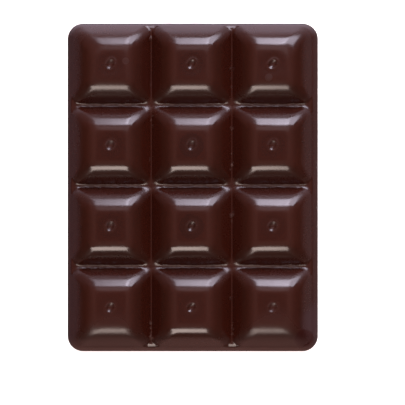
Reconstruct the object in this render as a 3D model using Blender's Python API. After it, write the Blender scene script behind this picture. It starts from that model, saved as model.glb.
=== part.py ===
"""A dark chocolate tablet moulded in one piece: twelve pillowed squares, three across and four along.

Units are metres and +Z is up. The origin is the middle of the flat back, which lies on the surface.
+Y points to the end that is uppermost when the tablet is looked down on.
"""

import math
import random

import bmesh
import bpy
from mathutils import Matrix, Vector

MM = 0.001

# The whole tablet
COLUMNS = 3
ROWS = 4
BAR_WIDTH = 84.0 * MM
BAR_LENGTH = 110.0 * MM
CORNER_RADIUS = 5.2 * MM
BACK_EDGE = 0.3 * MM

# The squares and the grooves between them
PITCH = 27.0 * MM
GROOVE_WIDTH = 0.8 * MM
GROOVE_HEIGHT = 3.4 * MM
SQUARE = PITCH - GROOVE_WIDTH
SHIFT_X = -0.4 * MM
SHIFT_Y = 0.5 * MM

# One pillow: its side is steepest at the foot and rounds over, within its reach, to a slightly crowned top
RISE = 5.4 * MM
REACH = 8.8 * MM
ROUNDING = 2.25
CROWN = 0.4 * MM
FOOT_CORNER = 2.8 * MM
BAR_CORNER = 3.8 * MM
TOP_CORNER = 2.2 * MM
CORNER_TAPER = 5.0 * MM

# The outer wall, which steepens on its way down
WALL_START = 0.45

# The small oval dimple in the middle of each square
DIMPLE_LENGTH = 3.2 * MM
DIMPLE_WIDTH = 2.3 * MM
DIMPLE_DEPTH = 0.42 * MM
DIMPLE_BALL = 1.2 * MM
DIMPLE_TURN = math.radians(57)
DIMPLE_SWING = math.radians(14)
DIMPLE_UNEVEN = 0.2
DIMPLE_SEED = 12

# Mesh lines in each square, from the foot of its slope inwards
SLOPE_STEPS = [step * MM for step in (0, 1.15, 2.4, 3.7, 5.0, 6.35, 7.8, 10.0)]
LEVEL_WITHIN = 0.001 * MM
DIMPLE_SEGMENTS = 20
DIMPLE_RINGS = 10

CHOCOLATE = (0.031, 0.0045, 0.0015, 1.0)
CHOCOLATE_ROUGHNESS = 0.18

# Where the first square starts and the last one ends
FIELD_WIDTH = COLUMNS * PITCH - GROOVE_WIDTH
FIELD_LENGTH = ROWS * PITCH - GROOVE_WIDTH
FIRST_X = SHIFT_X - FIELD_WIDTH / 2
FIRST_Y = SHIFT_Y - FIELD_LENGTH / 2


def within_rounded(across, along, radius):
    """How far inside a rounded corner a point is, from its distances inside the two sides."""
    if across >= radius or along >= radius:
        return min(across, along)
    return radius - math.hypot(radius - across, radius - along)


def blended_inset(across, along, radius):
    """The smaller of two insets, with contours that turn their corner on the same radius at every level."""
    apart = across - along
    if abs(apart) >= radius:
        return min(across, along)
    return (across + along - 2 * radius + math.sqrt(2 * radius**2 - apart**2)) / 2


def pillow_profile(inset):
    """The height of a pillow above the groove, by the distance in from its foot."""
    if inset <= 0:
        return 0.0
    left = max(1 - inset / REACH, 0)
    return RISE * (1 - left**ROUNDING)


def square_number(position, first, count):
    """Which square a position along one axis belongs to."""
    return min(max(int((position - first + GROOVE_WIDTH / 2) // PITCH), 0), count - 1)


def at_bar_corner(column, row, dx, dy):
    """Whether this corner of this square is one of the tablet's own four corners."""
    end_column = column == (COLUMNS - 1 if dx > 0 else 0)
    end_row = row == (ROWS - 1 if dy > 0 else 0)
    return end_column and end_row


def pillow_height(x, y):
    """The height over the groove of the pillow at this point, 0 in a groove."""
    column = square_number(x, FIRST_X, COLUMNS)
    row = square_number(y, FIRST_Y, ROWS)
    dx = x - (FIRST_X + column * PITCH + SQUARE / 2)
    dy = y - (FIRST_Y + row * PITCH + SQUARE / 2)
    across = SQUARE / 2 - abs(dx)
    along = SQUARE / 2 - abs(dy)
    foot = BAR_CORNER if at_bar_corner(column, row, dx, dy) else FOOT_CORNER
    top = TOP_CORNER * foot / FOOT_CORNER
    depth = min(max(min(across, along) / CORNER_TAPER, 0), 1)
    inset = blended_inset(across, along, foot + (top - foot) * depth)
    if inset <= 0:
        return 0.0
    crown = (1 - (2 * dx / SQUARE) ** 2) * (1 - (2 * dy / SQUARE) ** 2)
    return pillow_profile(inset) + CROWN * max(crown, 0)


def surface_height(x, y):
    """The height of the tablet's upper side above its back."""
    within_field = within_rounded(
        FIELD_WIDTH / 2 - abs(x - SHIFT_X), FIELD_LENGTH / 2 - abs(y - SHIFT_Y), BAR_CORNER
    )
    if within_field >= 0:
        return GROOVE_HEIGHT + pillow_height(x, y)
    to_outline = within_rounded(BAR_WIDTH / 2 - abs(x), BAR_LENGTH / 2 - abs(y), CORNER_RADIUS)
    out = within_field / (within_field - max(to_outline, 0))
    fall = WALL_START * out + (1 - WALL_START) * out**2
    return GROOVE_HEIGHT - (GROOVE_HEIGHT - BACK_EDGE) * fall


def grid_lines(first, count, half):
    """Where the mesh lines lie along one axis: the outer wall, then every square."""
    lines = [-half, (first - half) / 2]
    for number in range(count):
        start = first + number * PITCH
        lines += [start + step for step in SLOPE_STEPS]
        lines += [start + SQUARE - step for step in reversed(SLOPE_STEPS)]
    return lines + [(lines[-1] + half) / 2, half]


def on_round_outline(x, y):
    """A point of the square grid, moved so that the grid's corners fit the tablet's rounded ones."""
    centre_x = BAR_WIDTH / 2 - CORNER_RADIUS
    centre_y = BAR_LENGTH / 2 - CORNER_RADIUS
    u = abs(x) - centre_x
    v = abs(y) - centre_y
    if u <= 0 or v <= 0:
        return x, y
    reach = max(u, v)
    angle = math.pi / 4 * min(u, v) / reach
    if v > u:
        angle = math.pi / 2 - angle
    return (
        math.copysign(centre_x + reach * math.cos(angle), x),
        math.copysign(centre_y + reach * math.sin(angle), y),
    )


def add_patch(mesh, corners):
    """Covers four neighbouring grid points: flat where they are level, else folded as the surface folds."""
    a, b, c, d = corners
    heights = [corner.co.z for corner in corners]
    if max(heights) - min(heights) < LEVEL_WITHIN:
        mesh.faces.new(corners)
        return
    middle = sum((corner.co for corner in corners), Vector()) / 4
    true_height = surface_height(middle.x, middle.y)
    one_way = abs((a.co.z + c.co.z) / 2 - true_height)
    other_way = abs((b.co.z + d.co.z) / 2 - true_height)
    if one_way <= other_way:
        mesh.faces.new((a, b, c))
        mesh.faces.new((a, c, d))
    else:
        mesh.faces.new((a, b, d))
        mesh.faces.new((b, c, d))


def add_upper_side(mesh):
    """The moulded side: a grid of points lifted to the surface, out to the foot of the wall."""
    grid = []
    for y in grid_lines(FIRST_Y, ROWS, BAR_LENGTH / 2):
        row = []
        for x in grid_lines(FIRST_X, COLUMNS, BAR_WIDTH / 2):
            place = on_round_outline(x, y)
            row.append(mesh.verts.new((*place, surface_height(*place))))
        grid.append(row)
    for lower, upper in zip(grid, grid[1:]):
        for n in range(len(lower) - 1):
            add_patch(mesh, (lower[n], lower[n + 1], upper[n + 1], upper[n]))


def close_back(mesh):
    """A small chamfer round the foot of the wall, and the flat back across it."""
    rim = [edge for edge in mesh.edges if edge.is_boundary]
    made = bmesh.ops.extrude_edge_only(mesh, edges=rim)["geom"]
    foot = [item for item in made if isinstance(item, bmesh.types.BMVert)]
    for vert in foot:
        vert.co.x *= 1 - 2 * BACK_EDGE / BAR_WIDTH
        vert.co.y *= 1 - 2 * BACK_EDGE / BAR_LENGTH
        vert.co.z = 0
    foot_edges = [item for item in made if isinstance(item, bmesh.types.BMEdge)]
    bmesh.ops.contextual_create(mesh, geom=[edge for edge in foot_edges if edge.is_boundary])
    bmesh.ops.recalc_face_normals(mesh, faces=mesh.faces)


def add_dimple_ball(mesh, x, y, depth, turn):
    """An egg-shaped ball that dips into the square's top by the dimple's depth."""
    top = surface_height(x, y)
    level = DIMPLE_BALL - depth
    widening = 1 / math.sqrt(1 - (level / DIMPLE_BALL) ** 2)
    size = Vector((DIMPLE_LENGTH / 2 * widening, DIMPLE_WIDTH / 2 * widening, DIMPLE_BALL))
    place = Matrix.Translation((x, y, top + level)) @ Matrix.Rotation(turn, 4, "Z")
    bmesh.ops.create_uvsphere(
        mesh,
        u_segments=DIMPLE_SEGMENTS,
        v_segments=DIMPLE_RINGS,
        radius=1,
        matrix=place @ Matrix.Diagonal((*size, 1)),
    )


def add_dimple_balls(mesh):
    """One ball over the middle of each square, each a little different in depth and turn."""
    draw = random.Random(DIMPLE_SEED)
    for row in range(ROWS):
        for column in range(COLUMNS):
            x = FIRST_X + column * PITCH + SQUARE / 2
            y = FIRST_Y + row * PITCH + SQUARE / 2
            depth = DIMPLE_DEPTH * (1 + draw.uniform(-DIMPLE_UNEVEN, DIMPLE_UNEVEN))
            turn = DIMPLE_TURN + draw.uniform(-DIMPLE_SWING, DIMPLE_SWING)
            add_dimple_ball(mesh, x, y, depth, turn)


def new_object(name, build_steps):
    """An object whose mesh the given steps build."""
    mesh = bmesh.new()
    for step in build_steps:
        step(mesh)
    data = bpy.data.meshes.new(name)
    mesh.to_mesh(data)
    mesh.free()
    data.shade_smooth()
    data.set_sharp_from_angle(angle=math.radians(40))
    obj = bpy.data.objects.new(name, data)
    bpy.context.scene.collection.objects.link(obj)
    return obj


def chocolate_material():
    material = bpy.data.materials.new("dark_chocolate")
    material.use_nodes = True
    shader = material.node_tree.nodes["Principled BSDF"]
    shader.inputs["Base Color"].default_value = CHOCOLATE
    shader.inputs["Roughness"].default_value = CHOCOLATE_ROUGHNESS
    shader.inputs["Metallic"].default_value = 0.0
    material.diffuse_color = CHOCOLATE
    return material


def press_dimples(bar):
    """Sinks the dimples into the tops of the squares."""
    balls = new_object("dimple_balls", [add_dimple_balls])
    balls.hide_render = True
    balls.display_type = "WIRE"
    dimples = bar.modifiers.new("dimples", "BOOLEAN")
    dimples.operation = "DIFFERENCE"
    dimples.solver = "EXACT"
    dimples.object = balls


def clear_scene():
    for obj in list(bpy.data.objects):
        bpy.data.objects.remove(obj)


def main():
    clear_scene()
    bar = new_object("chocolate_bar", [add_upper_side, close_back])
    bar.data.materials.append(chocolate_material())
    press_dimples(bar)


main()
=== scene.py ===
"""The looks of a moulded dark chocolate tablet: its finely shaped surface, material, light and camera."""

import math
import random

import bmesh
import bpy
import numpy as np
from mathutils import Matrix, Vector, noise

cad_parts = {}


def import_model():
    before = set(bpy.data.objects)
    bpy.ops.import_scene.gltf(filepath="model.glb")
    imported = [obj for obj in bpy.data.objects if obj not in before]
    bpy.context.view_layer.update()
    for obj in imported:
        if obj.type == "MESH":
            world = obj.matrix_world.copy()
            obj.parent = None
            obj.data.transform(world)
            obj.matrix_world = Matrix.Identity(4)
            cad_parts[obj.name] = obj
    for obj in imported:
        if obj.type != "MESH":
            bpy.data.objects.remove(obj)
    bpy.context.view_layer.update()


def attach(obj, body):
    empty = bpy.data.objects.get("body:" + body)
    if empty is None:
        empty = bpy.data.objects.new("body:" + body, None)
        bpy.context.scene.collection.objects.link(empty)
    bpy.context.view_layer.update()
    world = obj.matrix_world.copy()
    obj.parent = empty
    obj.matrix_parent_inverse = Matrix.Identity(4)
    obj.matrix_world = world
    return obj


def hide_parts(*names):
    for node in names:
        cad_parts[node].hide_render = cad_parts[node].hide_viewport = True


MM = 0.001

# The tablet, in millimetres, as in the part's source
COLUMNS = 3
ROWS = 4
BAR_WIDTH = 84.0
BAR_LENGTH = 110.0
CORNER_RADIUS = 5.2
BACK_EDGE = 0.3
PITCH = 27.0
GROOVE_WIDTH = 0.8
GROOVE_HEIGHT = 3.4
SQUARE = PITCH - GROOVE_WIDTH
SHIFT_X = -0.4
SHIFT_Y = 0.5
RISE = 5.4
REACH = 8.8
ROUNDING = 2.25
CROWN = 0.4
FOOT_CORNER = 2.8
BAR_CORNER = 3.8
WALL_START = 0.45
DIMPLE_LENGTH = 3.2
DIMPLE_WIDTH = 2.3
DIMPLE_DEPTH = 0.42
DIMPLE_BALL = 1.2
DIMPLE_TURN = math.radians(57)
DIMPLE_SWING = math.radians(14)
DIMPLE_UNEVEN = 0.2
DIMPLE_SEED = 12

# Where the first square starts and the last one ends
FIELD_WIDTH = COLUMNS * PITCH - GROOVE_WIDTH
FIELD_LENGTH = ROWS * PITCH - GROOVE_WIDTH
FIRST_X = SHIFT_X - FIELD_WIDTH / 2
FIRST_Y = SHIFT_Y - FIELD_LENGTH / 2

# Finer shapes that only show close up, in millimetres
SLOPE_CORNER = 3.2
CREST_CORNER = 1.85
FOOT_BLEND = 0.2
FOOT_BLEND_END = 0.45
FOOT_BLEND_CORNER = 0.8
FOOT_BLEND_UNEVEN = 1.2
FOOT_BLEND_LEAST = 0.01
UPRIGHT_FILL = 0.22
FOOT_BOW = 0.3
FOOT_WAVER = 0.25
FRONT_NUDGE = 0.5
DIMPLE_BLEND = 0.1
DIMPLE_LIP = 0.06
LIP_PLACE = 1.3
LIP_WIDTH = 0.25
DISH_DEPTH = 0.035
WAVE = 0.02
RIPPLE = 0.008
GRAIN = 0.13
GRAIN_FINE = 0.015
GRAIN_SEED = 5
STRONG_GRAIN = 1.6
STRONG_COLUMN = 2
STRONG_REACH = 3
CRUMB_RISE = 0.75
CRUMB_LEVEL = 0.3
GROOVE_END_SINK = 0.26
GROOVE_END_RIM = 0.5
BACK_WAVE = 0.1
HOLLOW_LEVEL = 0.5
HOLLOW = 0.6
SMALL_HOLLOW = 0.3
NEXT_TO_NOTHING = 1e-9

# Where a finer shape starts and where it is whole, in millimetres in from the foot of a square
SLOPE_CORNERS = (0, 4.5)
CREST_CORNERS = (4.5, 6.5)
LEVEL_GROOVES = (0.25, -0.05)
UPRIGHT_GROOVES = (0.4, 0.1)
GRAINS = (1.0, 5.0)
CRUMBS = (1.0, 3.0)
WAVERING_FOOT = (1.2, 0)
BOWED_FOOT = (2.5, 0)
FILLED_FOOT = (2.0, 0)
ROUND_FOOT_END = (7, 2)
ROUND_FOOT_CORNER = (2.6, 0.6)
NUDGE_FROM_FOOT = (0.3, 4.5)
NUDGE_FROM_MIDDLE = (13, 8)
FRONT_GROOVE_ENDS = (1.9, 0.6)
BACK_GROOVE_ENDS = (2.6, 0.6)
CLEAN_HALF = (-0.4, -0.15)

# The same, in from the edge of the field of squares
INNER_SIDES = (0.2, 2.0)
# The same, in from the tablet's outline
WAVY_SIDE = (0, 1.5)
WAVY_BACK = (1, 6)
# The same, out from the middle of a square
DISH = (4.0, 2.6)
DISC = (4.5, 3.8)
DULL_DIMPLE = (2.2, 1.4)

# Unevenness: its wavelength in millimetres, and the layer of the noise that it takes
UNEVENNESS = {
    "waver": (1.5, 2.2),
    "foot": (1.5, 6.6),
    "crumbs": (0.8, 5.5),
    "crumb clusters": (6.0, 8.2),
    "waves": (11.0, 3.1),
    "ripples": (3.4, 7.7),
    "grains": (0.5, 9.4),
    "hollows": (16.0, 1.3),
    "small hollows": (5.0, 4.2),
}
CLUSTER_LEVELS = (-0.1, 0.35)
FOOT_STRETCH = 6
GRAIN_STRETCH = 3

# Soft round places, each with its middle, radius and strength
DULL_PLACES = [
    (-27.4, 41.0, 17.0, 0.3),
    (-27.4, 33.0, 9.0, 0.3),
    (-0.4, 33.0, 10.0, 0.5),
    (26.6, 33.0, 10.0, 0.5),
    (27.0, -51.0, 13.0, 1.6),
    (-27.0, -51.0, 12.0, 1.3),
    (25.3, 36.6, 1.5, 2.0),
    (-22.3, 42.1, 1.6, 1.5),
]
# Where a painted sheen lies: a paler purplish tone round the lower right corner, standing in for the sheen
# that corner mirrors
PAINTED_SHEEN_PLACES = [(43.0, -45.5, 8.5, 1.0)]
SMUDGES = [(37.3, -50.7, 3.7, 1.0)]
SMUDGE_SOFTNESS = 0.25

# How bright each dimple gleams, and how strongly painted shade darkens a disc round it, standing in for the
# dark overhead that the flat top mirrors, from the front row to the back one
GLEAM = np.array([[0.8, 1.0, 0.8], [0.4, 0.8, 0.5], [0.3, 0.8, 0.9], [0.8, 1.0, 1.0]])
PAINTED_SHADE_TONE = np.array([[0.1, 0.15, 0.1], [0.2, 0.45, 0.2], [0.2, 0.5, 0.2], [0.15, 0.25, 0.15]])
GLEAM_DULLNESS = 2
FAR_SIDE_DULLNESS = 1.5
# Dust on crumbs, partly real and partly a painted highlight that warms their glints
CRUMB_DUST_AND_HIGHLIGHT = 6
CRUMB_DUST_AND_HIGHLIGHT_MOST = 0.8
CLEAN_HALF_SHARE = 0.6

# Mesh lines in half a square: where a stretch starts, where it ends, and its step
LINE_STRETCHES = [(0, 1.2, 0.2), (1.2, 9.0, 0.39), (9.0, 11.3, 0.46), (11.3, 13.0, 0.2)]
# Mesh lines across a groove and across the outer wall, as shares of the way over it
GROOVE_LINES = (0.2, 0.4, 0.6, 0.8)
WALL_LINES = (0, 0.12, 0.26, 0.42, 0.6, 0.8)
# The rings of the rounded foot of the wall, and the coarse grid of the back in lines of the fine one
FOOT_RINGS = (30, 60, 90)
BACK_MARGIN = 6
BACK_STEP = 7

# Colours of the chocolate, among them painted shade, painted sheen and dust that is partly painted
# highlight
BROWN = (0.0200, 0.0026, 0.0006, 1)
LIGHT_BROWN = (0.0240, 0.0032, 0.0008, 1)
MOTTLED_BROWN = (0.034, 0.0053, 0.0017, 1)
# Painted shade: the darker disc round each dimple, standing in for the dark overhead mirrored in the flat
# top
PAINTED_SHADE_BROWN = (0.010, 0.0012, 0.0003, 1)
SMUDGE_BROWN = (0.021, 0.0004, 0.0001, 1)
# Painted sheen: the paler purplish tone round the lower right corner
PAINTED_SHEEN = (0.030, 0.0100, 0.0112, 1)
# Dust in the level grooves and on crumbs: partly real grit and partly a painted highlight that brightens
# and warms the grooves' light lines and glints
DUST_AND_PAINTED_HIGHLIGHT = (0.074, 0.045, 0.036, 1)
MOTTLING = 0.3
DUST_AND_HIGHLIGHT_LEAST = 0.25

# Its gloss: the satin's range of roughness, what duller places add to it, and the heights in metres
# between which a slope is duller
SATIN = (0.15, 0.19)
SATIN_FINE = 0.006
ROUGHER_GROOVE = 0.2
ROUGHER_DULL = 0.1
ROUGHER_SLOPE = 0.09
SLOPE_BELOW = (0.0082, 0.0064)
SLOPE_ABOVE = (0.0030, 0.0036)
SHEEN = 0.35
GRIT = 4.0
BUMP_HEIGHT = 0.00001

# Its noise patterns: scale per metre, detail and roughness
PATTERNS = {
    "drift": (45.0, 3.0, 0.5),
    "mottle": (900.0, 3.0, 0.6),
    "dust_and_highlight": (750.0, 2.0, 0.5),
    "patches": (80.0, 2.0, 0.5),
    "fine": (1500.0, 2.0, 0.5),
    "skin": (420.0, 3.0, 0.55),
    "grit": (2200.0, 2.0, 0.6),
}
# The part of a pattern's range that is used
PATTERN_RANGE = (0.3, 0.7)
DUST_AND_HIGHLIGHT_RANGE = (0.4, 0.6)
PATCH_RANGE = (0.35, 0.7)

# The camera straight above, in metres
CAMERA = (0.00326, -0.00506, 1.0)
VIEW_WIDTH = 0.13605
SENSOR_WIDTH = 36

FLOOR_HALF = 4.0
FLOOR_WHITE = (0.85, 0.85, 0.85, 1)
FLOOR_GLOW = 0.8

# Lights facing the tablet: degrees from overhead, azimuth, distance, size, colour and radiance. A cool,
# window-like light behind it is brightest at 83 degrees. It falls off in steps towards the left, and is
# dimmer towards the right and above.
COOL = (0.88, 0.83, 1.0)
ROSY = (1.0, 0.87, 0.95)
BACK_LIGHTS = {
    "key": (53, 63, 2, (0.98, 1.10), COOL, 6.9),
    "key_strip_0": (53, 87.7, 1.99, (0.49, 1.10), COOL, 3.3),
    "key_strip_1": (53, 86.1, 1.99, (0.40, 1.10), COOL, 1.8),
    "key_strip_2": (53, 85.2, 1.99, (0.35, 1.10), COOL, 3.2),
    "key_strip_3": (53, 84.2, 1.99, (0.30, 1.10), COOL, 2.0),
    "key_strip_4": (53, 82.5, 1.99, (0.20, 1.10), COOL, 2.0),
    "key_strip_5": (53, 100, 1.99, (0.3, 1.10), COOL, 0.6),
    "key_knob": (35.5, 76, 2, (0.37, 0.21), COOL, 5.0),
    "key_upper": (20, 80, 1, (0.45, 0.28), ROSY, 0.6),
}
# A warm, level panel in front, and a fill that shows in no reflection
FRONT_PLACE = (-0.17, -1.09, 1.0)
FRONT_SIZE = (0.64, 0.66)
FRONT_COLOUR = (1.0, 0.83, 0.76)
FRONT_RADIANCE = 9.0
FILL_ANGLES = (66, 88)
FILL_SIZE = (0.8, 0.4)
FILL_COLOUR = (1.0, 0.8, 0.7)
FILL_RADIANCE = 6.0

# The room's light from each side, and from each side's lower part
SKY = {
    "up": (0.62, 0.295, 0.25),
    "left": (0.08, 0.065, 0.05),
    "right": (0.10, 0.085, 0.07),
    "front": (0.14, 0.085, 0.06),
    "back": (0.50, 0.38, 0.40),
    "low_left": (0.23, 0.13, 0.17),
    "low_right": (0.30, 0.18, 0.20),
    "low_front": (0.60, 0.305, 0.285),
    "low_back": (1.38, 1.26, 1.60),
}
# How high over the horizon a lower part starts, and where it is whole, as sines
LOW_FROM = {"left": (0.25, -0.15), "right": (0.18, 0.02), "front": (0.2, -0.1), "back": (0.25, -0.15)}
# What is left of the light right overhead, and where that shade starts and is whole, in degrees
SHADE_OVERHEAD = 0.42
SHADE_ANGLES = (14, 2)
# How closely each side's light keeps to its side
SIDE_POWER = 2.0
UP_POWER = 3.0


def smoothstep(low, high, value):
    """0 up to the low end and 1 from the high end on, with a smooth rise between the two."""
    t = np.clip((value - low) / (high - low), 0, 1)
    return t * t * (3 - 2 * t)


def soft_positive(value, blend):
    """The value where it is over zero and zero elsewhere, with a round turn between the two."""
    near = np.clip(1 - np.abs(value) / blend, 0, 1)
    return np.maximum(value, 0) + blend * near**2 / 4


def within_rounded(across, along, radius):
    """How far inside a rounded corner points are, from their distances inside the two sides."""
    rounded = radius - np.hypot(radius - across, radius - along)
    straight = np.minimum(across, along)
    return np.where(np.maximum(across, along) >= radius, straight, rounded)


def blended_inset(across, along, radius):
    """The smaller of two insets, with contours that turn their corner on the same radius at every level."""
    apart = across - along
    round_part = (across + along - 2 * radius + np.sqrt(np.maximum(2 * radius**2 - apart**2, 0))) / 2
    return np.where(np.abs(apart) >= radius, np.minimum(across, along), round_part)


def uneven(x, y, kind):
    """One kind of smooth unevenness at the given points."""
    wavelength, layer = UNEVENNESS[kind]
    values = [
        noise.noise(Vector((a / wavelength, b / wavelength, layer)))
        for a, b in zip(x.ravel().tolist(), y.ravel().tolist())
    ]
    return np.array(values).reshape(x.shape)


class Places:
    """Where points lie in their squares: the square's numbers, and distances to its middle and sides."""

    def __init__(self, x, y):
        self.x = x
        self.y = y
        self.column = np.clip((x - FIRST_X + GROOVE_WIDTH / 2) // PITCH, 0, COLUMNS - 1).astype(int)
        self.row = np.clip((y - FIRST_Y + GROOVE_WIDTH / 2) // PITCH, 0, ROWS - 1).astype(int)
        self.dx = x - (FIRST_X + self.column * PITCH + SQUARE / 2)
        self.dy = y - (FIRST_Y + self.row * PITCH + SQUARE / 2)
        self.from_middle = np.hypot(self.dx, self.dy)
        self.across = SQUARE / 2 - np.abs(self.dx)
        self.along = SQUARE / 2 - np.abs(self.dy)
        self.end_column = self.column == np.where(self.dx > 0, COLUMNS - 1, 0)
        self.end_row = self.row == np.where(self.dy > 0, ROWS - 1, 0)
        self.within_field = within_rounded(
            FIELD_WIDTH / 2 - np.abs(x - SHIFT_X), FIELD_LENGTH / 2 - np.abs(y - SHIFT_Y), BAR_CORNER
        )
        self.to_outline = within_rounded(
            BAR_WIDTH / 2 - np.abs(x), BAR_LENGTH / 2 - np.abs(y), CORNER_RADIUS
        )
        self.inner = smoothstep(*INNER_SIDES, self.within_field)
        self.in_level_groove = self.inner * smoothstep(*LEVEL_GROOVES, self.along) * ~self.end_row
        self.in_upright_groove = self.inner * smoothstep(*UPRIGHT_GROOVES, self.across) * ~self.end_column
        rim = np.exp(-((self.within_field / GROOVE_END_RIM) ** 2))
        near_groove = np.where(
            self.dy < 0,
            smoothstep(*FRONT_GROOVE_ENDS, self.across),
            smoothstep(*BACK_GROOVE_ENDS, self.across),
        )
        self.groove_end = rim * near_groove * self.end_row * ~self.end_column


def corner_radius(at):
    """The radius of a pillow's corners, which varies on the way up the slope."""
    at_bar_corner = at.end_column & at.end_row
    inwards = np.minimum(at.across, at.along)
    foot = np.where(at_bar_corner, BAR_CORNER, FOOT_CORNER)
    crest = np.where(at_bar_corner, BAR_CORNER, CREST_CORNER)
    slope = np.maximum(SLOPE_CORNER, foot)
    radius = foot + (slope - foot) * smoothstep(*SLOPE_CORNERS, inwards)
    return radius + (crest - radius) * smoothstep(*CREST_CORNERS, inwards)


def foot_blend(at):
    """How widely a pillow's foot rounds into the groove."""
    from_corner = np.maximum(at.across, at.along)
    blend = FOOT_BLEND + FOOT_BLEND_END * smoothstep(*ROUND_FOOT_END, from_corner)
    blend = blend + FOOT_BLEND_CORNER * smoothstep(*ROUND_FOOT_CORNER, from_corner)
    rough = FOOT_BLEND_UNEVEN * uneven(at.x, at.y / FOOT_STRETCH, "foot")
    blend = blend * (1 + rough * smoothstep(*GRAINS, at.across))
    return np.maximum(blend * at.inner, FOOT_BLEND_LEAST)


def pillow_height(at):
    """The height over the groove of the pillows, about 0 in a groove."""
    near_foot = smoothstep(*BOWED_FOOT, at.along) * at.inner
    waver = FOOT_WAVER * uneven(at.x, at.y / FOOT_STRETCH, "waver")
    waver = waver * smoothstep(*WAVERING_FOOT, at.along) * at.inner
    bow = FOOT_BOW * (2 * at.dx / SQUARE) ** 2 * near_foot + waver
    fill = UPRIGHT_FILL * smoothstep(*FILLED_FOOT, at.across) * at.inner * ~at.end_column
    nudge = FRONT_NUDGE * smoothstep(*NUDGE_FROM_FOOT, at.along) * smoothstep(*NUDGE_FROM_MIDDLE, at.along)
    along = at.along - bow + nudge * ((at.row == 0) & (at.dy < 0))
    inset = blended_inset(at.across + fill, along, corner_radius(at))
    rising = RISE * (1 - (1 - np.clip(inset / REACH, 0, 1)) ** ROUNDING)
    rising = np.where(inset < 0, RISE * ROUNDING / REACH * inset, rising)
    crown = (1 - (2 * at.dx / SQUARE) ** 2) * (1 - (2 * at.dy / SQUARE) ** 2)
    return soft_positive(rising, foot_blend(at)) + CROWN * np.maximum(crown, 0) * (inset > 0)


def surface_height(at):
    """The height of the tablet's upper side above its back."""
    out = at.within_field / np.minimum(at.within_field - np.maximum(at.to_outline, 0), -NEXT_TO_NOTHING)
    fall = WALL_START * out + (1 - WALL_START) * out**2
    wall = GROOVE_HEIGHT - (GROOVE_HEIGHT - BACK_EDGE) * fall
    return np.where(at.within_field >= 0, GROOVE_HEIGHT + pillow_height(at), wall)


def dimple_depth(at):
    """How far the dimple and the faint dish round it sink the middle of each square."""
    draw = random.Random(DIMPLE_SEED)
    deep = np.zeros((ROWS, COLUMNS))
    turn = np.zeros((ROWS, COLUMNS))
    for row in range(ROWS):
        for column in range(COLUMNS):
            deep[row, column] = DIMPLE_DEPTH * (1 + draw.uniform(-DIMPLE_UNEVEN, DIMPLE_UNEVEN))
            turn[row, column] = DIMPLE_TURN + draw.uniform(-DIMPLE_SWING, DIMPLE_SWING)
    deep = deep[at.row, at.column]
    turn = turn[at.row, at.column]
    u = (at.dx * np.cos(turn) + at.dy * np.sin(turn)) / (DIMPLE_LENGTH / 2)
    v = (at.dy * np.cos(turn) - at.dx * np.sin(turn)) / (DIMPLE_WIDTH / 2)
    level = DIMPLE_BALL - deep
    narrowing = 1 - (level / DIMPLE_BALL) ** 2
    ball = np.sqrt(np.clip(1 - (u**2 + v**2) * narrowing, 0, 1))
    bowl = soft_positive(DIMPLE_BALL * ball - level, DIMPLE_BLEND)
    lip = DIMPLE_LIP * np.exp(-(((np.hypot(u, v) - LIP_PLACE) / LIP_WIDTH) ** 2))
    return bowl - lip + DISH_DEPTH * smoothstep(*DISH, at.from_middle)


def crumbs(at):
    """Spots in the upright grooves where crumbs stick, in loose clusters."""
    spots = np.maximum(uneven(at.x, at.y, "crumbs") - CRUMB_LEVEL, 0) * smoothstep(*CRUMBS, at.along)
    clusters = smoothstep(*CLUSTER_LEVELS, uneven(at.x, at.y, "crumb clusters"))
    return spots * clusters * at.in_upright_groove


def relief(at):
    """Unevenness on the moulded form: slow waves, grains and crumbs, dimples, and sunk groove ends."""
    waves = WAVE * uneven(at.x, at.y, "waves") + RIPPLE * uneven(at.x, at.y, "ripples")
    draw = np.random.RandomState(GRAIN_SEED)
    grain = GRAIN * uneven(at.x / GRAIN_STRETCH, at.y, "grains") + GRAIN_FINE * draw.normal(size=at.x.shape)
    in_strong_groove = (at.column == STRONG_COLUMN) & (np.abs(at.y - (FIRST_Y + PITCH)) < STRONG_REACH)
    strong = np.where(in_strong_groove, STRONG_GRAIN, 1.0)
    grains = grain * at.in_level_groove * smoothstep(*GRAINS, at.across) * strong
    waves = smoothstep(*WAVY_SIDE, at.to_outline) * waves
    return waves + grains + CRUMB_RISE * crumbs(at) - dimple_depth(at) - GROOVE_END_SINK * at.groove_end


def soft_places(at, places, softness=0.5):
    """The strength of round places whose edges fade over a share of their radius."""
    total = np.zeros(at.x.shape)
    for x, y, radius, strength in places:
        total += strength * smoothstep(radius, radius * (1 - softness), np.hypot(at.x - x, at.y - y))
    return total


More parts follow.
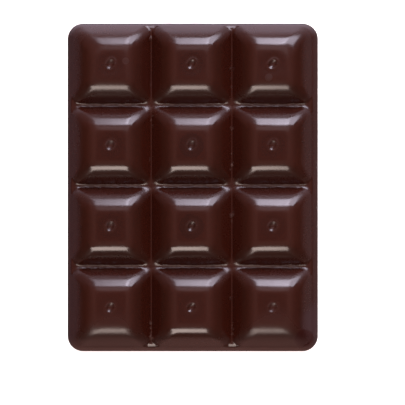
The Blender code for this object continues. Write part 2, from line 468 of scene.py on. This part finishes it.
def surface_masks(at):
    """How strongly each special look of the chocolate shows at each point of the upper side."""
    # Crumb dust, partly a painted highlight on the crumbs' glints
    crumb_dust_and_highlight = np.minimum(CRUMB_DUST_AND_HIGHLIGHT * crumbs(at), CRUMB_DUST_AND_HIGHLIGHT_MOST)
    clean_half = np.where(at.dy < 0, 1, 1 - CLEAN_HALF_SHARE * smoothstep(*CLEAN_HALF, at.along))
    duller_dimple = FAR_SIDE_DULLNESS * (at.dy > 0) + GLEAM_DULLNESS * (1 - GLEAM[at.row, at.column])
    duller_dimple = duller_dimple * smoothstep(*DULL_DIMPLE, at.from_middle)
    smudge = soft_places(at, SMUDGES, SMUDGE_SOFTNESS)
    return {
        # Dust in the level grooves, partly a painted highlight on their light lines
        "groove": at.in_level_groove * smoothstep(*GRAINS, at.across) * clean_half + crumb_dust_and_highlight,
        "dull": soft_places(at, DULL_PLACES) + duller_dimple + at.groove_end,
        # Painted shade: a darker disc round each dimple
        "painted_shade": PAINTED_SHADE_TONE[at.row, at.column] * smoothstep(*DISC, at.from_middle),
        "smudge": smudge,
        # Painted sheen round the lower right corner, left out in the smudge
        "painted_sheen": soft_places(at, PAINTED_SHEEN_PLACES) * (1 - smudge),
    }


def square_lines():
    """Where the mesh lines lie in one square, from its foot to the opposite one."""
    stretches = [np.arange(*stretch) for stretch in LINE_STRETCHES]
    half = np.unique(np.round(np.concatenate([*stretches, [SQUARE / 2]]), 4))
    return np.unique(np.round(np.concatenate([half, SQUARE - half]), 4))


def grid_lines(first, count, half):
    """Where the mesh lines lie along one axis: the outer wall, every square and every groove."""
    wall = np.array(WALL_LINES)
    lines = list(-half + (first + half) * wall)
    steps = square_lines()
    for number in range(count):
        start = first + number * PITCH
        lines += list(start + steps)
        if number < count - 1:
            lines += list(start + SQUARE + GROOVE_WIDTH * np.array(GROOVE_LINES))
    last = first + count * PITCH - GROOVE_WIDTH
    lines += list(half - (half - last) * wall[::-1])
    return np.array(lines)


def on_round_outline(x, y):
    """Points of the square grid, moved so that the grid's corners fit the tablet's rounded ones."""
    centre_x = BAR_WIDTH / 2 - CORNER_RADIUS
    centre_y = BAR_LENGTH / 2 - CORNER_RADIUS
    u = np.abs(x) - centre_x
    v = np.abs(y) - centre_y
    in_corner = (u > 0) & (v > 0)
    reach = np.where(in_corner, np.maximum(u, v), 1)
    angle = math.pi / 4 * np.where(in_corner, np.minimum(u, v), 0) / reach
    angle = np.where(v > u, math.pi / 2 - angle, angle)
    new_x = np.copysign(centre_x + reach * np.cos(angle), x)
    new_y = np.copysign(centre_y + reach * np.sin(angle), y)
    return np.where(in_corner, new_x, x), np.where(in_corner, new_y, y)


def quads(index, downwards=False):
    """Faces over a grid of point numbers, facing up or down."""
    corners = [index[:-1, :-1], index[:-1, 1:], index[1:, 1:], index[1:, :-1]]
    if downwards:
        corners = corners[:1] + corners[:0:-1]
    return np.stack(corners, axis=-1).reshape(-1, 4).tolist()


def edge_loop(index):
    """Numbers of the grid points round the grid's edge, anticlockwise from the first corner."""
    return list(np.concatenate([index[0, :-1], index[:-1, -1], index[-1, :0:-1], index[:0:-1, 0]]))


def edge_places(rows, columns, picked_rows, picked_columns):
    """For each point round a coarse inner grid, its row and column there and its place in the edge loop."""
    right = columns - 1
    up = right + rows - 1
    left = up + columns - 1
    last_row = len(picked_rows) - 1
    last_column = len(picked_columns) - 1
    places = [(0, j, c) for j, c in enumerate(picked_columns)]
    places += [(i, last_column, right + r) for i, r in enumerate(picked_rows)]
    places += [(last_row, j, up + right - c) for j, c in reversed(list(enumerate(picked_columns)))]
    places += [(i, 0, left + rows - 1 - r) for i, r in reversed(list(enumerate(picked_rows)))]
    return places


def back_points(x, y):
    """Points of the flat back, with faint hollows that never reach below the level it lies on."""
    x = x * (1 - 2 * BACK_EDGE / BAR_WIDTH)
    y = y * (1 - 2 * BACK_EDGE / BAR_LENGTH)
    inside = within_rounded(BAR_WIDTH / 2 - np.abs(x), BAR_LENGTH / 2 - np.abs(y), CORNER_RADIUS)
    hollow = HOLLOW_LEVEL + HOLLOW * uneven(x, y, "hollows") + SMALL_HOLLOW * uneven(x, y, "small hollows")
    return x, y, BACK_WAVE * np.clip(hollow, 0, 1) * smoothstep(*WAVY_BACK, inside)


def add_points(points, new):
    """Adds rows of coordinates to a list of such arrays, and gives the number of the first one."""
    first = sum(len(part) for part in points)
    points.append(new)
    return first


def add_wall_foot(points, faces, loop):
    """The rounded foot of the wall: rings below a loop of points. Gives the lowest ring."""
    rim = points[0][loop]
    for degrees in FOOT_RINGS:
        inwards = BACK_EDGE * (1 - math.cos(math.radians(degrees)))
        ring = rim * (1 - 2 * inwards / BAR_WIDTH, 1 - 2 * inwards / BAR_LENGTH, 0)
        ring[:, 2] = BACK_EDGE * (1 - math.sin(math.radians(degrees)))
        first = add_points(points, ring)
        below = list(range(first, first + len(loop)))
        for n in range(len(loop)):
            faces.append((loop[n - 1], loop[n], below[n], below[n - 1]))
        loop = below
    return loop


def add_back(points, faces, loop, at):
    """The back: a coarse grid, joined to the fine loop round it by strips."""
    rows, columns = at.x.shape
    picked_rows = list(range(BACK_MARGIN, rows - BACK_MARGIN, BACK_STEP))
    picked_columns = list(range(BACK_MARGIN, columns - BACK_MARGIN, BACK_STEP))
    picked = np.ix_(picked_rows, picked_columns)
    back = np.stack(back_points(at.x[picked], at.y[picked]), axis=-1)
    first = add_points(points, back.reshape(-1, 3))
    inner = first + np.arange(back.shape[0] * back.shape[1]).reshape(back.shape[:2])
    faces += quads(inner, downwards=True)
    places = edge_places(rows, columns, picked_rows, picked_columns)
    for (i, j, start), (next_i, next_j, end) in zip(places, places[1:] + places[:1]):
        stop = end if end >= start else end + len(loop)
        strip = [loop[n % len(loop)] for n in range(start, stop + 1)]
        corners = [inner[next_i, next_j]]
        if (i, j) != (next_i, next_j):
            corners.append(inner[i, j])
        faces.append(strip + corners)


def bar_mesh():
    """The whole tablet as one closed mesh, with its masks as point attributes."""
    xs = grid_lines(FIRST_X, COLUMNS, BAR_WIDTH / 2)
    ys = grid_lines(FIRST_Y, ROWS, BAR_LENGTH / 2)
    at = Places(*on_round_outline(*np.meshgrid(xs, ys)))
    z = surface_height(at) + relief(at)
    index = np.arange(z.size).reshape(z.shape)
    points = [np.stack([at.x, at.y, z], axis=-1).reshape(-1, 3)]
    faces = quads(index)
    loop = add_wall_foot(points, faces, edge_loop(index))
    add_back(points, faces, loop, at)

    data = bpy.data.meshes.new("chocolate")
    data.from_pydata((np.concatenate(points) * MM).tolist(), [], faces)
    mesh = bmesh.new()
    mesh.from_mesh(data)
    bmesh.ops.recalc_face_normals(mesh, faces=mesh.faces)
    mesh.to_mesh(data)
    mesh.free()
    data.shade_smooth()
    for name, mask in surface_masks(at).items():
        values = np.zeros(len(data.vertices), dtype=np.float32)
        values[: mask.size] = mask.ravel()
        data.attributes.new(name, "FLOAT", "POINT").data.foreach_set("value", values)
    return data


class Nodes:
    """Small helper that adds and joins shader nodes."""

    def __init__(self, tree):
        self.tree = tree

    def add(self, kind, inputs=None, **settings):
        node = self.tree.nodes.new(kind)
        for name, value in settings.items():
            setattr(node, name, value)
        for name, value in (inputs or {}).items():
            self.set(node.inputs[name], value)
        return node

    def set(self, socket, value):
        if isinstance(value, bpy.types.NodeSocket):
            self.tree.links.new(value, socket)
        else:
            socket.default_value = value

    def math(self, operation, first, second=0.0, third=0.0):
        return self.add("ShaderNodeMath", {0: first, 1: second, 2: third}, operation=operation).outputs[0]

    def noise(self, vector, scale, detail, roughness):
        inputs = {"Vector": vector, "Scale": scale, "Detail": detail, "Roughness": roughness}
        return self.add("ShaderNodeTexNoise", inputs).outputs["Fac"]

    def ramp(self, value, low, high, to_low=0.0, to_high=1.0):
        inputs = {"Value": value, "From Min": low, "From Max": high, "To Min": to_low, "To Max": to_high}
        return self.add("ShaderNodeMapRange", inputs, interpolation_type="SMOOTHSTEP").outputs["Result"]

    def mix(self, factor, first, second):
        node = self.add("ShaderNodeMix", data_type="RGBA")
        self.set(node.inputs[0], factor)
        self.set(node.inputs[6], first)
        self.set(node.inputs[7], second)
        return node.outputs[2]


def chocolate_colour(nodes, masks, patterns):
    """Brown that drifts slowly over the tablet, finely mottled, with a smudge, painted shade in discs round
    the dimples, painted sheen near one corner, and dust that is partly painted highlight.
    """
    drift = nodes.ramp(patterns["drift"], *PATTERN_RANGE)
    mottle = nodes.math("MULTIPLY", nodes.ramp(patterns["mottle"], *PATTERN_RANGE), MOTTLING)
    # Dust in the grooves and on crumbs, partly painted highlight
    dust_and_highlight = nodes.ramp(patterns["dust_and_highlight"], *DUST_AND_HIGHLIGHT_RANGE, DUST_AND_HIGHLIGHT_LEAST, 1.0)
    dust_and_highlight = nodes.math("MULTIPLY", masks["groove"], dust_and_highlight)
    colour = nodes.mix(drift, BROWN, LIGHT_BROWN)
    colour = nodes.mix(mottle, colour, MOTTLED_BROWN)
    # Painted shade darkens the discs round the dimples
    colour = nodes.mix(masks["painted_shade"], colour, PAINTED_SHADE_BROWN)
    colour = nodes.mix(masks["smudge"], colour, SMUDGE_BROWN)
    # Painted sheen round the lower right corner
    colour = nodes.mix(masks["painted_sheen"], colour, PAINTED_SHEEN)
    return nodes.mix(dust_and_highlight, colour, DUST_AND_PAINTED_HIGHLIGHT)


def chocolate_roughness(nodes, masks, patterns, place):
    """A satin gloss, duller in soft patches and low on the slopes, and rougher down in the grooves."""
    patches = nodes.ramp(patterns["patches"], *PATCH_RANGE, *SATIN)
    fine = nodes.ramp(patterns["fine"], *PATTERN_RANGE, -SATIN_FINE, SATIN_FINE)
    roughness = nodes.math("ADD", patches, fine)
    roughness = nodes.math("MULTIPLY_ADD", masks["groove"], ROUGHER_GROOVE, roughness)
    roughness = nodes.math("MULTIPLY_ADD", masks["dull"], ROUGHER_DULL, roughness)
    height = nodes.add("ShaderNodeSeparateXYZ", {"Vector": place}).outputs["Z"]
    slope = nodes.math("MULTIPLY", nodes.ramp(height, *SLOPE_BELOW), nodes.ramp(height, *SLOPE_ABOVE))
    return nodes.math("MULTIPLY_ADD", slope, ROUGHER_SLOPE, roughness)


def chocolate_bump(nodes, masks, patterns):
    """Faint skin-like unevenness, and grit in the grooves."""
    grit = nodes.math("MULTIPLY", patterns["grit"], masks["groove"])
    height = nodes.math("MULTIPLY_ADD", grit, GRIT, patterns["skin"])
    return nodes.add("ShaderNodeBump", {"Height": height, "Distance": BUMP_HEIGHT, "Strength": 1.0})


def chocolate_material():
    material = bpy.data.materials.new("dark_chocolate")
    material.use_nodes = True
    nodes = Nodes(material.node_tree)
    shader = material.node_tree.nodes["Principled BSDF"]
    place = nodes.add("ShaderNodeTexCoord").outputs["Object"]
    masks = {}
    for name in ("groove", "dull", "painted_shade", "smudge", "painted_sheen"):
        masks[name] = nodes.add("ShaderNodeAttribute", attribute_name=name).outputs["Fac"]
    patterns = {name: nodes.noise(place, *settings) for name, settings in PATTERNS.items()}
    sheen = nodes.math("MULTIPLY_ADD", masks["smudge"], -SHEEN, SHEEN)
    nodes.set(shader.inputs["Base Color"], chocolate_colour(nodes, masks, patterns))
    nodes.set(shader.inputs["Roughness"], chocolate_roughness(nodes, masks, patterns, place))
    nodes.set(shader.inputs["Normal"], chocolate_bump(nodes, masks, patterns).outputs["Normal"])
    nodes.set(shader.inputs["Coat Weight"], sheen)
    shader.inputs["IOR"].default_value = 1.5
    shader.inputs["Coat Roughness"].default_value = 0.45
    shader.inputs["Coat IOR"].default_value = 1.3
    return material


def new_object(name, data):
    """An object in the scene that shows the given data."""
    obj = bpy.data.objects.new(name, data)
    bpy.context.scene.collection.objects.link(obj)
    return obj


def pale_floor():
    """A plain white floor that the chocolate doesn't mirror."""
    signs = [(-1, -1), (1, -1), (1, 1), (-1, 1)]
    corners = [(x * FLOOR_HALF, y * FLOOR_HALF, 0) for x, y in signs]
    data = bpy.data.meshes.new("floor")
    data.from_pydata(corners, [], [(0, 1, 2, 3)])
    paint = bpy.data.materials.new("floor_paint")
    paint.use_nodes = True
    shader = paint.node_tree.nodes["Principled BSDF"]
    shader.inputs["Base Color"].default_value = FLOOR_WHITE
    shader.inputs["Roughness"].default_value = 0.9
    shader.inputs["Emission Color"].default_value = (1, 1, 1, 1)
    shader.inputs["Emission Strength"].default_value = FLOOR_GLOW
    data.materials.append(paint)
    floor = new_object("floor", data)
    floor.visible_glossy = False
    return floor


def add_camera():
    """A camera that looks straight down, with the view's width given at the back's level."""
    data = bpy.data.cameras.new("camera")
    data.sensor_width = SENSOR_WIDTH
    data.lens = SENSOR_WIDTH / VIEW_WIDTH * CAMERA[2]
    camera = new_object("camera", data)
    camera.location = CAMERA
    bpy.context.scene.camera = camera


def direction(polar, azimuth):
    """A unit vector from its degrees away from overhead and its azimuth."""
    theta = math.radians(polar)
    phi = math.radians(azimuth)
    return Vector((math.sin(theta) * math.cos(phi), math.sin(theta) * math.sin(phi), math.cos(theta)))


def area_light(name, place, size, colour, radiance, level=False):
    """A rectangular soft light, level or facing the tablet; radiance is what a mirror would see in it."""
    data = bpy.data.lights.new(name, "AREA")
    data.shape = "RECTANGLE"
    data.size = size[0]
    data.size_y = size[1]
    data.color = colour
    data.energy = radiance * math.pi * size[0] * size[1]
    light = new_object(name, data)
    light.location = place
    if not level:
        light.rotation_euler = (-place).to_track_quat("-Z", "Y").to_euler()
    light.visible_camera = False
    return light


def add_lights():
    for name, (polar, azimuth, distance, size, colour, radiance) in BACK_LIGHTS.items():
        area_light(name, distance * direction(polar, azimuth), size, colour, radiance)
    area_light("front", Vector(FRONT_PLACE), FRONT_SIZE, FRONT_COLOUR, FRONT_RADIANCE, level=True)
    fill = area_light("fill", direction(*FILL_ANGLES), FILL_SIZE, FILL_COLOUR, FILL_RADIANCE)
    fill.visible_glossy = False


def studio_world():
    """A dim room round the lights: each direction mixes the levels overhead and on the four sides."""
    world = bpy.data.worlds.new("room")
    bpy.context.scene.world = world
    world.use_nodes = True
    nodes = Nodes(world.node_tree)
    towards = nodes.add("ShaderNodeTexCoord").outputs["Generated"]
    parts = nodes.add("ShaderNodeSeparateXYZ", {0: towards}).outputs

    def side_share(axis, sign, power=SIDE_POWER):
        facing = nodes.math("MAXIMUM", nodes.math("MULTIPLY", parts[axis], sign), 0.0)
        return nodes.math("POWER", facing, power)

    shade_start, shade_whole = (math.cos(math.radians(angle)) for angle in SHADE_ANGLES)
    shade = nodes.ramp(parts["Z"], shade_start, shade_whole, 1.0, SHADE_OVERHEAD)
    shares = {
        "up": nodes.math("MULTIPLY", side_share("Z", 1.0, UP_POWER), shade),
        "left": side_share("X", -1.0),
        "right": side_share("X", 1.0),
        "front": side_share("Y", -1.0),
        "back": side_share("Y", 1.0),
    }
    for side, (start, whole) in LOW_FROM.items():
        shares["low_" + side] = nodes.math("MULTIPLY", shares[side], nodes.ramp(parts["Z"], start, whole))
    levels = []
    for name, share in shares.items():
        level = nodes.add("ShaderNodeVectorMath", {0: SKY[name], "Scale": share}, operation="SCALE")
        levels.append(level.outputs[0])
    total = levels[0]
    for level in levels[1:]:
        total = nodes.add("ShaderNodeVectorMath", {0: total, 1: level}, operation="ADD").outputs[0]
    nodes.set(world.node_tree.nodes["Background"].inputs["Color"], total)


def main():
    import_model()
    bar = new_object("chocolate", bar_mesh())
    bar.data.materials.append(chocolate_material())
    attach(bar, "root")
    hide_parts("chocolate_bar")
    floor = pale_floor()
    add_camera()
    add_lights()
    studio_world()
    bpy.context.scene.view_settings.view_transform = "Standard"


main()
